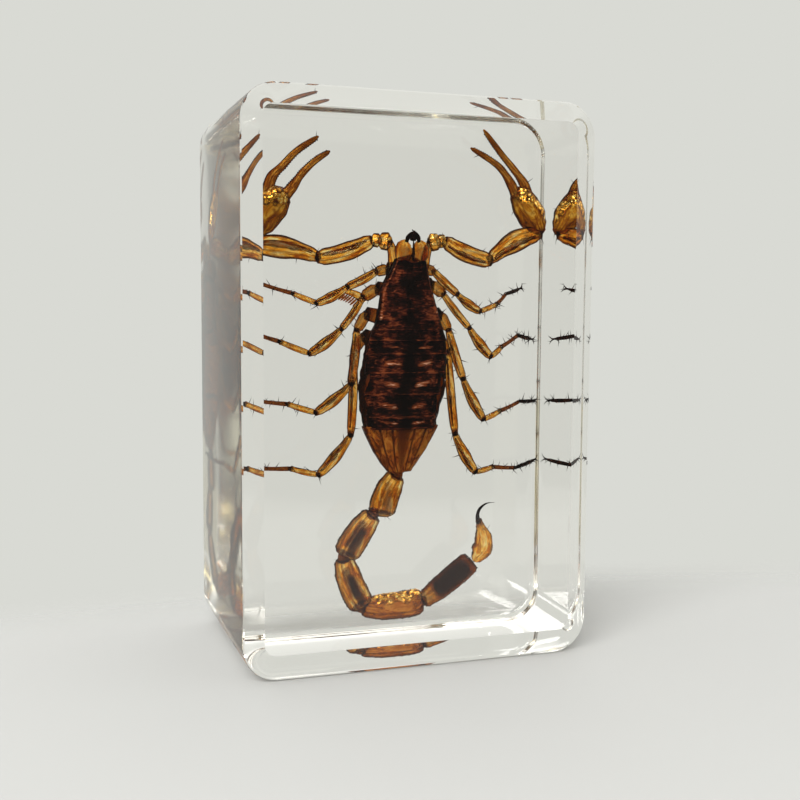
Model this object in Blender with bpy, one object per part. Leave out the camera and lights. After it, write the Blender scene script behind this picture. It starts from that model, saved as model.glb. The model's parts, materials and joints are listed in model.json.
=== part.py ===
"""Clear cast resin block that holds a dried scorpion specimen.

Units are metres, +Z is up and the block's front face looks along -Y.
It stands on its base with the origin at the bottom centre.
"""
import math

import bmesh
import bpy

MM = 0.001

# Outer size
HEIGHT = 60.0 * MM
WIDTH_FRONT = 38.5 * MM
WIDTH_BACK = 39.1 * MM
DEPTH = 26.0 * MM

# Upright corners, seen from the front
CORNER_RADIUS = 3.8 * MM
PANE_CORNER_RADIUS = 1.2 * MM

# Hand-finished bevel around the front pane: its width differs on each side
BEVEL_LEFT = 1.9 * MM
BEVEL_RIGHT = 3.0 * MM
BEVEL_TOP = 2.4 * MM
BEVEL_BOTTOM = 3.2 * MM
BEVEL_DEPTH = 1.8 * MM

# Small rounding where the block was cut from its mould, wider along the base
BACK_RADIUS = 0.8 * MM
BACK_BASE_INSET = 1.4 * MM

CORNER_STEPS = 10
BACK_STEPS = 4

# Bevel section from the pane (0) to the side wall (1): inset share left, depth share
BEVEL_SECTION = [
    (1.0, 0.0),
    (0.68, 0.36),
    (0.36, 0.66),
    (0.10, 0.90),
    (0.03, 1.02),
    (0.0, 1.20),
]


def clear_scene():
    for item in list(bpy.data.objects):
        bpy.data.objects.remove(item, do_unlink=True)


def half_width(depth):
    """Half the block's width at a distance behind the front face."""
    front = WIDTH_FRONT / 2
    back = WIDTH_BACK / 2
    return front + (back - front) * depth / DEPTH


def outline(left, right, bottom, top, radius, depth):
    """Rounded rectangle with four side insets, at one distance from the front."""
    half = half_width(depth)
    x_low = -half + left
    x_high = half - right
    z_low = bottom
    z_high = HEIGHT - top
    corners = [
        (x_high - radius, z_low + radius, -90),
        (x_high - radius, z_high - radius, 0),
        (x_low + radius, z_high - radius, 90),
        (x_low + radius, z_low + radius, 180),
    ]
    points = []
    for cx, cz, start in corners:
        for step in range(CORNER_STEPS + 1):
            angle = math.radians(start + 90 * step / CORNER_STEPS)
            x = cx + radius * math.cos(angle)
            z = cz + radius * math.sin(angle)
            points.append((x, depth - DEPTH / 2, z))
    return points


def block_loops():
    """All outlines from the front pane to the back face."""
    loops = []
    for share, depth_share in BEVEL_SECTION:
        radius = CORNER_RADIUS + (PANE_CORNER_RADIUS - CORNER_RADIUS) * share
        loops.append(outline(
            BEVEL_LEFT * share,
            BEVEL_RIGHT * share,
            BEVEL_BOTTOM * share,
            BEVEL_TOP * share,
            radius,
            BEVEL_DEPTH * depth_share,
        ))
    for step in range(BACK_STEPS + 1):
        angle = math.radians(90 * step / BACK_STEPS)
        inset = BACK_RADIUS * (1 - math.cos(angle))
        base_inset = BACK_BASE_INSET * (1 - math.cos(angle))
        depth = DEPTH - BACK_RADIUS * (1 - math.sin(angle))
        radius = CORNER_RADIUS - base_inset
        loops.append(outline(inset, inset, base_inset, inset, radius, depth))
    return loops


def make_material(name, color, roughness, transmission, ior):
    material = bpy.data.materials.new(name)
    material.use_nodes = True
    shader = material.node_tree.nodes["Principled BSDF"]
    shader.inputs["Base Color"].default_value = color
    shader.inputs["Roughness"].default_value = roughness
    shader.inputs["Transmission Weight"].default_value = transmission
    shader.inputs["IOR"].default_value = ior
    material.diffuse_color = color
    return material


def make_block():
    mesh = bpy.data.meshes.new("resin_block")
    body = bmesh.new()
    rings = []
    for loop in block_loops():
        rings.append([body.verts.new(point) for point in loop])
    count = len(rings[0])
    body.faces.new(rings[0])
    for near, far in zip(rings, rings[1:]):
        for i in range(count):
            j = (i + 1) % count
            body.faces.new((near[j], near[i], far[i], far[j]))
    body.faces.new(list(reversed(rings[-1])))
    bmesh.ops.recalc_face_normals(body, faces=body.faces)
    body.to_mesh(mesh)
    body.free()
    block = bpy.data.objects.new("resin_block", mesh)
    bpy.context.scene.collection.objects.link(block)
    block.data.materials.append(
        make_material("clear_resin", (0.93, 0.93, 0.89, 1.0), 0.02, 1.0, 1.54)
    )
    return block


clear_scene()
make_block()
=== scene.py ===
# %% [markdown]
# # A scorpion cast in a clear resin block
# The real object is a small souvenir block: a dried scorpion set in clear casting resin, with a hand-
# finished bevel round the front face. The resin is one solid piece and the animal is the other. This lesson
# builds both with mesh code and Geometry Nodes, in metres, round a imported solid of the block.

# %% Tools and the fixed frame
import json
import math

import bmesh
import bpy
import numpy as np
from mathutils import Matrix, Vector, noise

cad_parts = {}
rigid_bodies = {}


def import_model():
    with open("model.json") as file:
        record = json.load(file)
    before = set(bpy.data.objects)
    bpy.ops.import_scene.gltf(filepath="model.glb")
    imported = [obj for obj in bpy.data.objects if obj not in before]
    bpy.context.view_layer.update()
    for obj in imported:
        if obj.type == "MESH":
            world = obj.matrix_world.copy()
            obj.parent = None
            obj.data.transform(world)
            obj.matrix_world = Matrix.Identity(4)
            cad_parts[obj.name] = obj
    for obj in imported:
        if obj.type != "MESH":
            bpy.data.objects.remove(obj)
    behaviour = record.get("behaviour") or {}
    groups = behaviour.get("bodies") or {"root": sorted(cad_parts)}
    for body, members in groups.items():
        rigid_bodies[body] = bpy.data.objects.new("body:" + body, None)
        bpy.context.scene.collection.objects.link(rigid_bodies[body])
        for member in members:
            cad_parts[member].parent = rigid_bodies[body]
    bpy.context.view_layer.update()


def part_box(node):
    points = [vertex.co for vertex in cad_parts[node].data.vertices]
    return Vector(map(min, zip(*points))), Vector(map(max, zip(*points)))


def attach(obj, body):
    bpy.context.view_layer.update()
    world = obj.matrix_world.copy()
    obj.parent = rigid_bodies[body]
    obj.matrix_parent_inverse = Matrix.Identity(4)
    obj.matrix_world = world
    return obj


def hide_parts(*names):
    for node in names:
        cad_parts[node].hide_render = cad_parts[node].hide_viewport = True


MM = 0.001

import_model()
block_low, block_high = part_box("resin_block")
DEPTH = block_high.y - block_low.y
HEIGHT = block_high.z - block_low.z
FRONT = block_low.y
scene = bpy.context.scene
print("block", [round(v / MM, 2) for v in block_high - block_low], "mm")


# %% [markdown]
# ## Helpers for colour and nodes
# A colour is easiest to name as an sRGB hex value, but shaders work in linear light, so one function turns
# the first into the second. Nodes could be placed by hand in the editor. Here one small function adds a
# node with its settings and links, so that a whole material reads from top to bottom.

# %% Colour and node helpers
def linear(code):
    """An sRGB hex colour as linear red, green, blue and 1."""
    parts = [int(code[i:i + 2], 16) / 255 for i in (0, 2, 4)]
    return tuple(p / 12.92 if p <= 0.04045 else ((p + 0.055) / 1.055) ** 2.4 for p in parts) + (1.0,)


def add(tree, kind, inputs=None, stops=None, **settings):
    """Adds one node. Inputs take a socket, a node or a plain value; stops are a ramp's (place, hex)."""
    made = tree.nodes.new(kind)
    for key, value in settings.items():
        setattr(made, key, value)
    for key, value in (inputs or {}).items():
        if isinstance(value, bpy.types.Node):
            value = value.outputs[0]
        if isinstance(value, bpy.types.NodeSocket):
            tree.links.new(value, made.inputs[key])
        else:
            made.inputs[key].default_value = value
    for number, (place, code) in enumerate(stops or []):
        points = made.color_ramp.elements
        point = points[number] if number < 2 else points.new(place)
        point.position = place
        point.color = linear(code)
    return made


def new_material(name):
    """A material with nothing in it but its output."""
    made = bpy.data.materials.new(name)
    made.use_nodes = True
    made.node_tree.nodes.clear()
    return made


def finish_surface(tree, shader, **more):
    """Joins the shader to the output, and a volume where more names one."""
    add(tree, "ShaderNodeOutputMaterial", {"Surface": shader, **more})


print("mid grey 808080 in linear light:", round(linear("808080")[0], 3))

# %% [markdown]
# ## Casting resin
# The block is clear polyester resin, poured in a mould and polished. It could be drawn as a thin shell of
# glass, but a solid with plain transmission and a real index of refraction also shows the animal a second
# time in its side walls. The faint straw tint comes from the depth of resin, so it is absorption, not
# colour.

# %% Cast resin
RESIN_IOR = 1.54
# absorption per metre of resin: 26 mm of it barely warms what lies behind
RESIN_DENSITY = 9.0


def cast_resin(name, roughness):
    """Clear casting resin. The roughness says how its wall was finished."""
    material = new_material(name)
    tree = material.node_tree
    surface = add(tree, "ShaderNodeBsdfPrincipled", {
        "Base Color": (1.0, 1.0, 1.0, 1.0), "Roughness": roughness, "IOR": RESIN_IOR,
        "Transmission Weight": 1.0})
    tint = add(tree, "ShaderNodeVolumeAbsorption", {"Color": linear("f4f1e4"), "Density": RESIN_DENSITY})
    finish_surface(tree, surface, Volume=tint)
    return material


# buffed to a polish: sharp reflections, and a clear view inside
RESIN = cast_resin("polished_casting_resin", 0.0)
# sanded and only part polished: what shows through this wall is soft and smeared
SANDED_RESIN = cast_resin("sanded_casting_resin", 0.1)
print("resins:", RESIN.name, "and", SANDED_RESIN.name, "with IOR", RESIN_IOR)

# %% [markdown]
# ## The block
# A mould gives the block its draft, so it is a little wider at the back. A bevel is ground round the front
# pane, wider at the base than at the top. A cube with a Bevel modifier would give one width all round. Here
# rounded outlines are stacked from front to back and skinned, so each side keeps its own bevel.

# %% The block
WIDTH_FRONT = 38.5 * MM
WIDTH_BACK = 39.1 * MM
CORNER_RADIUS = 3.8 * MM
PANE_CORNER_RADIUS = 1.2 * MM
BEVEL = {"left": 1.9 * MM, "right": 3.0 * MM, "top": 2.4 * MM, "bottom": 3.2 * MM}
BEVEL_DEPTH = 1.8 * MM
BACK_RADIUS = 0.8 * MM
BACK_BASE_INSET = 1.4 * MM
BEVEL_SECTION = [(1.0, 0.0), (0.68, 0.36), (0.36, 0.66), (0.10, 0.90), (0.03, 1.02), (0.0, 1.20)]
CORNER_STEPS = 48
BACK_STEPS = 12
# a wall face larger than this, and facing left, is the sanded side
SANDED_WALL_AREA = 50 * MM * MM


def outline(share, depth, radius, inset=0.0, base_inset=0.0):
    """One rounded rectangle of the block, by the share of the bevel's inset and the depth behind the pane."""
    half = (WIDTH_FRONT + (WIDTH_BACK - WIDTH_FRONT) * depth / DEPTH) / 2
    x_low = -half + BEVEL["left"] * share + inset
    x_high = half - BEVEL["right"] * share - inset
    z_low = BEVEL["bottom"] * share + base_inset
    z_high = HEIGHT - BEVEL["top"] * share - inset
    corners = [
        (x_high - radius, z_low + radius, -90),
        (x_high - radius, z_high - radius, 0),
        (x_low + radius, z_high - radius, 90),
        (x_low + radius, z_low + radius, 180),
    ]
    points = []
    for cx, cz, start in corners:
        for step in range(CORNER_STEPS + 1):
            angle = math.radians(start + 90 * step / CORNER_STEPS)
            points.append((cx + radius * math.cos(angle), FRONT + depth, cz + radius * math.sin(angle)))
    return points


def block_outlines():
    """All the outlines from the pane to the back: first down the bevel, then round the back edge."""
    loops = []
    for share, depth_share in BEVEL_SECTION:
        radius = CORNER_RADIUS + (PANE_CORNER_RADIUS - CORNER_RADIUS) * share
        loops.append(outline(share, BEVEL_DEPTH * depth_share, radius))
    for step in range(BACK_STEPS + 1):
        angle = math.radians(90 * step / BACK_STEPS)
        base_inset = BACK_BASE_INSET * (1 - math.cos(angle))
        loops.append(outline(
            0.0,
            DEPTH - BACK_RADIUS * (1 - math.sin(angle)),
            CORNER_RADIUS - base_inset,
            BACK_RADIUS * (1 - math.cos(angle)),
            base_inset,
        ))
    return loops


def new_piece(name, points, faces, material, smooth=True):
    """A mesh object at the origin from points in metres and faces that point outwards."""
    mesh = bpy.data.meshes.new(name)
    mesh.from_pydata([tuple(p) for p in points], [], faces)
    mesh.validate()
    if smooth:
        mesh.shade_smooth()
    piece = bpy.data.objects.new(name, mesh)
    scene.collection.objects.link(piece)
    mesh.materials.append(material)
    return piece


def make_block():
    """The casting, skinned over its outlines and closed by the pane and the back."""
    loops = block_outlines()
    count = len(loops[0])
    points = [p for loop in loops for p in loop]
    faces = [list(range(count))]
    for row in range(len(loops) - 1):
        near, far = row * count, (row + 1) * count
        for i in range(count):
            j = (i + 1) % count
            faces.append([near + j, near + i, far + i, far + j])
    faces.append([len(points) - 1 - i for i in range(count)])
    block = new_piece("resin_casting", points, faces, RESIN)
    block.data.materials.append(SANDED_RESIN)
    for face in block.data.polygons:
        if face.normal.x < -0.9 and face.area > SANDED_WALL_AREA:
            face.material_index = 1
    block.data.set_sharp_from_angle(angle=math.radians(12))
    return block


block = make_block()
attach(block, "root")
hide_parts("resin_block")
print("resin casting:", len(block.data.polygons), "faces")

# %% [markdown]
# ## The animal's finishes
# Scorpion shell is a horny cuticle: translucent amber where it is thin, dark brown where it is tanned, with
# fibres of dried muscle showing inside as pale and dark streaks. Where the shell has come away from the
# resin, a thin layer of air makes it shine like crumpled gold foil. One finish covers all the amber shell,
# and reads the tints that each piece carries.

# %% Tints and coats of colour
TINTS = ("keel", "dark", "gold")


def tints_of(tree):
    """The keel, dark and gold tints that every shell carries."""
    return [add(tree, "ShaderNodeAttribute", attribute_name=name).outputs["Fac"] for name in TINTS]


def coat(tree, under, over, amount, low, high, strength=1.0):
    """Lays one colour over another: none where the amount is low, and its full strength from high."""
    share = add(tree, "ShaderNodeMapRange", {
        "Value": amount, "From Min": low, "From Max": high, "To Max": strength},
        interpolation_type="SMOOTHSTEP")
    over = linear(over) if isinstance(over, str) else over
    return add(tree, "ShaderNodeMix", {"Factor": share, 6: under, 7: over}, data_type="RGBA").outputs[2]


print("tints on every shell:", TINTS)


# %% Amber cuticle
def amber_cuticle(name, fibre_steps, transmission):
    """Horny shell: fibre streaks, red-brown to black keels and joints, crumpled gold over trapped air. The
    black of the side keels is also painted shade along a limb's outline.
    """
    material = new_material(name)
    tree = material.node_tree
    place = add(tree, "ShaderNodeTexCoord")
    keel, dark, gold = tints_of(tree)
    # UV runs once round a limb and 1 per 10 mm along it, so fibres are about 0.35 mm wide and 3 mm long.
    # On a plate it runs once across and once down
    stretched = add(tree, "ShaderNodeMapping", {"Vector": place.outputs["UV"], "Scale": (9.0, 3.4, 1.0)})
    fibres = add(tree, "ShaderNodeTexNoise", {
        "Vector": stretched, "Scale": 1.0, "Detail": 5.0, "Roughness": 0.66, "Distortion": 0.7},
        noise_dimensions="2D")
    # blotches 0.9 mm across
    blotches = add(tree, "ShaderNodeTexNoise", {"Vector": place.outputs["Object"], "Scale": 1100.0,
                                                "Detail": 4.0})
    colour = add(tree, "ShaderNodeValToRGB", {"Fac": fibres}, stops=fibre_steps)
    colour = coat(tree, colour, "8c4408", blotches, 0.52, 0.68, 0.75)
    # tanning takes the shell through red-brown to near black, with a ragged edge along the fibres
    tanned = add(tree, "ShaderNodeMath", {0: fibres, 1: 0.7, 2: dark}, operation="MULTIPLY_ADD")
    # the keel coats darken the keels; on the side keels this is also painted shade along the outline seen
    # from the front
    for amount, start, middle, end in ((keel, 0.15, 0.55, 0.95), (tanned, 0.42, 0.8, 1.2)):
        colour = coat(tree, colour, "6e2c06", amount, start, middle, 0.92)
        colour = coat(tree, colour, "1e0a03", amount, middle, end, 0.97)
    # crumpled foil: ridges about 0.3 mm apart
    crumple = add(tree, "ShaderNodeTexVoronoi", {"Vector": place.outputs["Object"], "Scale": 2900.0},
                  feature="SMOOTH_F1")
    foil = add(tree, "ShaderNodeMath", {0: gold, 1: blotches}, operation="MULTIPLY")
    foil = add(tree, "ShaderNodeMapRange", {"Value": foil, "From Min": 0.28, "From Max": 0.46},
               interpolation_type="SMOOTHSTEP")
    shine = add(tree, "ShaderNodeValToRGB", {"Fac": crumple},
                stops=[(0.1, "fff0a0"), (0.34, "e0a030"), (0.62, "5a2808")])
    colour = add(tree, "ShaderNodeMix", {"Factor": foil, 6: colour, 7: shine}, data_type="RGBA").outputs[2]
    relief = add(tree, "ShaderNodeMath", {0: crumple, 1: foil, 2: fibres}, operation="MULTIPLY_ADD")
    bump = add(tree, "ShaderNodeBump", {"Height": relief, "Strength": 0.6, "Distance": 0.12 * MM})
    shader = add(tree, "ShaderNodeBsdfPrincipled", {
        "Base Color": colour, "Normal": bump, "Metallic": foil, "Roughness": 0.12, "IOR": 1.06,
        "Transmission Weight": transmission})
    finish_surface(tree, shader)
    return material


# thin shell of the limbs, grown glossy and dried clear: light passes through and picks out its fibres
AMBER = amber_cuticle("amber_cuticle", [
    (0.36, "8a3604"), (0.43, "d8780c"), (0.5, "ffb22c"), (0.6, "ffeaa4")], 0.88)
# soft skin between the plates, dried thick and cloudy: a brown ground that lets little light through
AMBER_BODY = amber_cuticle("amber_membrane", [(0.3, "3c1606"), (0.5, "7c3a10"), (0.72, "b0682a")], 0.4)
# thicker shell under the body and at the tail's fourth segment: redder, and less light comes through
AMBER_RED = amber_cuticle("red_amber_cuticle", [(0.32, "6a2a0a"), (0.46, "b4601c"), (0.66, "eaa040")], 0.6)
print("amber finishes:", AMBER.name, AMBER_BODY.name, AMBER_RED.name)


# %% Tanned cuticle and dried muscle
def tanned_cuticle(name, steps, rose, scar_glint):
    """Thick, tanned shell: near black in its hollows, warmer on its wrinkles, with pale creases and painted
    glints.
    """
    material = new_material(name)
    tree = material.node_tree
    place = add(tree, "ShaderNodeTexCoord").outputs["Object"]
    keel, dark, gold = tints_of(tree)
    # blotches 1.4 mm across, wrinkles 0.2 mm apart that run across the body, creases 0.14 mm thick
    blotches = add(tree, "ShaderNodeTexNoise", {"Vector": place, "Scale": 700.0, "Detail": 4.0})
    across = add(tree, "ShaderNodeMapping", {"Vector": place, "Scale": (1100.0, 1100.0, 4800.0)})
    wrinkles = add(tree, "ShaderNodeTexNoise", {
        "Vector": across, "Scale": 1.0, "Detail": 5.0, "Roughness": 0.62, "Distortion": 0.9})
    along = add(tree, "ShaderNodeMapping", {"Vector": place, "Scale": (600.0, 600.0, 7200.0)})
    creases = add(tree, "ShaderNodeTexNoise", {"Vector": along, "Scale": 1.0, "Detail": 2.0,
                                               "Distortion": 1.6})
    level = add(tree, "ShaderNodeMath", {0: blotches, 1: wrinkles}, operation="ADD")
    level = add(tree, "ShaderNodeMath", {0: keel, 1: 0.16, 2: level}, operation="MULTIPLY_ADD")
    level = add(tree, "ShaderNodeMath", {0: dark, 1: -0.16, 2: level}, operation="MULTIPLY_ADD")
    level = add(tree, "ShaderNodeMath", {0: level, 1: 0.5}, operation="MULTIPLY")
    colour = add(tree, "ShaderNodeValToRGB", {"Fac": level}, stops=steps)
    # the gold tint lays pale rosy creases, and where it is strongest a painted glint in the last, palest
    # colour
    pale = add(tree, "ShaderNodeMath", {0: gold, 1: creases}, operation="MULTIPLY")
    colour = coat(tree, colour, rose, pale, 0.34, 0.5, 0.85)
    colour = coat(tree, colour, scar_glint, pale, 0.52, 0.62, 0.9)
    relief = add(tree, "ShaderNodeMath", {0: wrinkles, 1: pale}, operation="ADD")
    bump = add(tree, "ShaderNodeBump", {"Height": relief, "Strength": 0.8, "Distance": 0.12 * MM})
    shader = add(tree, "ShaderNodeBsdfPrincipled", {
        "Base Color": colour, "Normal": bump, "Roughness": 0.34, "IOR": 1.03})
    finish_surface(tree, shader)
    return material


# hard shell of the back, tanned as it grew and wrinkled as it dried: almost black, with a satin gloss and
# painted glints on its creases
TANNED = tanned_cuticle("tanned_cuticle", [
    (0.46, "060201"), (0.53, "1c0804"), (0.58, "3c1509"), (0.66, "7a3c20")], "8a4424", "e8b490")
# muscle shrunk to strands inside the limbs: brown shadows in the amber
MUSCLE = tanned_cuticle("dried_muscle", [(0.4, "2c1004"), (0.5, "5a2a0a"), (0.6, "8a4a16")], "7c4012",
                        "8a4a18")
# the hardest shell, of fangs, sting, teeth and bristles: black with a satin gloss
FANG = tanned_cuticle("black_fang", [(0.4, "060201"), (0.6, "1e0b05")], "240e06", "2e140a")
print("dark finishes:", TANNED.name, MUSCLE.name, FANG.name)


# %% [markdown]
# ## How the animal's shell is drawn
# A scorpion's limb is a chain of hollow horny tubes with ridges, called keels, along them. Lofting gives
# that form: rings of points follow each segment's line, and a profile sets how wide each ring is. Every
# ring also carries three tints, which the finish reads: keel, where the shell is thick and dark, and on the
# two side keels also painted shade along the outline seen from the front; dark, where it is tanned; and
# gold, where it has come away from the resin and shines, which on the dark plates is painted as pale
# creases and glints.

# %% Lofted shells
class Shell:
    """Collects the points, faces, UV places and tints of one piece."""

    def __init__(self):
        self.points, self.faces, self.uvs = [], [], []
        self.tints = {name: [] for name in TINTS}

    def add_points(self, places, *tints):
        """Adds points with their keel, dark and gold tints, and says which number the first one has."""
        first = len(self.points)
        self.points.extend(places)
        for name, values in zip(TINTS, tints):
            self.tints[name].extend(values)
        return first

    def piece(self, name, material):
        """The finished mesh, with every closed part turned faces out."""
        made = new_piece(name, self.points, self.faces, material)
        layer = made.data.uv_layers.new(name="UVMap")
        layer.data.foreach_set("uv", np.array(self.uvs, np.float32).ravel())
        for tint, values in self.tints.items():
            attribute = made.data.attributes.new(tint, "FLOAT", "POINT")
            attribute.data.foreach_set("value", np.array(values, np.float32))
        # the rings of a tube can run either way round, so the faces are turned by the closed shape itself
        shape = bmesh.new()
        shape.from_mesh(made.data)
        bmesh.ops.recalc_face_normals(shape, faces=shape.faces)
        volume = shape.calc_volume(signed=True) / MM ** 3
        shape.to_mesh(made.data)
        shape.free()
        print(name + ":", len(self.faces), "faces,", round(volume, 2), "mm3")
        return made


def smooth_profile(steps, share):
    """The value at a share of the way along, eased between given steps of (share, value)."""
    for (s0, v0), (s1, v1) in zip(steps, steps[1:]):
        if share <= s1:
            t = max(0.0, (share - s0) / (s1 - s0))
            return v0 + (v1 - v0) * t * t * (3 - 2 * t)
    return steps[-1][1]


# rings are laid square to the viewer, so angles 0 and 180 fall on a tube's left and right outline as seen
# from the front
TO_VIEWER = Vector((0, -1, 0))


def ring_frame(along):
    """Sideways and outwards directions of a ring whose line runs along."""
    side = along.cross(TO_VIEWER)
    side.normalize()
    return side, side.cross(along).normalized()


def keel_height(angle, keels, edge):
    """1 on a side keel, which is broad and reaches edge degrees each way, and less on the others. The side
    keels lie on the outline seen from the front: real keel colour and painted outline shade.
    """
    best = 0.0
    for keel in keels:
        away = abs((angle - keel + 180) % 360 - 180)
        side = 1 / (1 + (away / edge) ** 8)
        best = max(best, side if keel % 180 == 0 else 0.5 * math.exp(-(away / 8) ** 2))
    return best


def loft(shell, line, widths, thickness=0.8, keels=(), keel_size=0.06, dark=None, gold=None,
         sides=28, wobble=0.03, edge=34, cap=0.22):
    """Lofts one closed tube. Line is a list of points, widths the full width at each of them."""
    rings = []
    count = len(line)
    length = 0.0
    lengths = [0.0]
    for a, b in zip(line, line[1:]):
        length += (b - a).length
        lengths.append(length)
    for row, (centre, width) in enumerate(zip(line, widths)):
        before, after = line[max(row - 1, 0)], line[min(row + 1, count - 1)]
        side, front = ring_frame((after - before).normalized())
        share = lengths[row] / length
        places, keel_tints, dark_tints, gold_tints = [], [], [], []
        for i in range(sides):
            angle = 360 * i / sides
            ridge = keel_height(angle, keels, edge)
            reach = width / 2 * (1 + keel_size * ridge)
            c, s = math.cos(math.radians(angle)), math.sin(math.radians(angle))
            place = centre + side * (c * reach) + front * (s * reach * thickness)
            place = place + (place - centre) * (wobble * noise.noise(place * 1400))
            places.append(place)
            keel_tints.append(ridge)
            dark_tints.append(dark(share, angle) if dark else 0.0)
            gold_tints.append(gold(share, angle) if gold else 0.0)
        rings.append(shell.add_points(places, keel_tints, dark_tints, gold_tints))
    for row in range(count - 1):
        v0, v1 = lengths[row] / (10 * MM), lengths[row + 1] / (10 * MM)
        for i in range(sides):
            j = (i + 1) % sides
            shell.faces.append([rings[row] + i, rings[row] + j, rings[row + 1] + j, rings[row + 1] + i])
            shell.uvs.extend([(i / sides, v0), ((i + 1) / sides, v0), ((i + 1) / sides, v1), (i / sides, v1)])
    for row, pole_share in ((0, 0.0), (count - 1, 1.0)):
        inner = line[1] if row == 0 else line[-2]
        outward = (line[row] - inner).normalized()
        pole = line[row] + outward * (widths[row] * cap)
        tip = shell.add_points([pole], [0.0], [dark(pole_share, 90) if dark else 0.0], [0.0])
        v = lengths[row] / (10 * MM)
        for i in range(sides):
            j = (i + 1) % sides
            corners = [rings[row] + j, rings[row] + i] if row == 0 else [rings[row] + i, rings[row] + j]
            shell.faces.append(corners + [tip])
            shell.uvs.extend([(i / sides, v), ((i + 1) / sides, v), ((i + 0.5) / sides, v)])


def mm(x, y, z):
    """A place given in millimetres."""
    return Vector((x, y, z)) * MM


def bent_line(start, end, bow=(0, 0), count=18):
    """Points from start to end, bowed by two lengths in millimetres: in the view plane and in depth."""
    straight = end - start
    side, front = ring_frame(straight.normalized())
    line = []
    for i in range(count):
        t = i / (count - 1)
        lift = 4 * t * (1 - t)
        line.append(start + straight * t + side * (bow[0] * MM * lift) + front * (bow[1] * MM * lift))
    return line


print("keel height on a side keel:", keel_height(0, (0, 180), 34), "and halfway round:",
      round(keel_height(90, (0, 180), 34), 3))


# %% [markdown]
# ## Limb segments
# Each kind of segment has one profile, used for every leg: a femur is a long tube that widens early, a
# patella is a club, and a tibia a slim cup. The ends are tanned dark, because the shell is thick where it
# bears on its neighbour. Inside each of the large segments lies a strand of dried muscle, which shows
# through the shell.

# %% Profiles of the segments
PROFILES = {
    "knob": [(0, 0.55), (0.3, 1.0), (0.75, 0.95), (1, 0.55)],
    "femur": [(0, 0.55), (0.1, 0.84), (0.45, 1.0), (0.86, 0.92), (1, 0.62)],
    "patella": [(0, 0.42), (0.14, 0.66), (0.55, 1.0), (0.86, 0.8), (1, 0.5)],
    "tibia": [(0, 0.62), (0.16, 0.95), (0.5, 1.0), (0.88, 0.86), (0.94, 1.0), (1, 0.6)],
    "slim": [(0, 0.7), (0.1, 1.0), (0.5, 0.86), (0.9, 0.9), (1, 0.7)],
    "foot": [(0, 0.6), (0.15, 1.0), (0.55, 1.1), (0.85, 0.95), (1, 0.5)],
}
# the keels at 0 and 180 lie on the outline seen from the front, where their dark tint is also painted shade
LEG_KEELS = (0, 62, 118, 180, 242, 298)


def dark_ends(reach=0.06, base=0.0):
    """A dark tint that falls off from both ends of a segment, over a base."""
    def tint(share, angle):
        near = min(share, 1 - share)
        return min(1.0, base + math.exp(-(near / reach) ** 2))
    return tint


def segment(shell, muscle, start, end, width, profile, bow=(0, 0), thickness=0.75, base=0.0, strand=0.0,
            reach=0.06, gold=None, keel_size=0.06, count=20):
    """One limb segment, and the strand of dried muscle inside it where it has one."""
    line = bent_line(start, end, bow, count)
    widths = [width * MM * smooth_profile(PROFILES[profile], i / (count - 1)) for i in range(count)]
    loft(shell, line, widths, thickness, LEG_KEELS, keel_size, dark_ends(reach, base), gold)
    if strand:
        inner = line[2:-2]
        shares = [math.sin(math.pi * (i + 1) / (len(inner) + 1)) for i in range(len(inner))]
        wave = [1 + 0.35 * noise.noise(p * 2500) for p in inner]
        thick = [width * MM * strand * (0.35 + 0.65 * s) * k for s, k in zip(shares, wave)]
        offset = (line[-1] - line[0]).cross(TO_VIEWER).normalized() * (0.12 * width * MM)
        shifted = [p + offset for p in inner]
        loft(muscle, shifted, thick, 0.6, (), 0.0, None, None, sides=10, wobble=0.5)


print("segment profiles:", ", ".join(PROFILES))


# %% [markdown]
# ## Legs
# Eight legs leave the body in pairs and bend down towards the back of the block, so each goes deeper into
# the resin as it goes outwards. A leg is given by the places of its joints in millimetres, from the hip to
# the foot, and by the widths of its segments. Two small curved claws end each foot.

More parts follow.
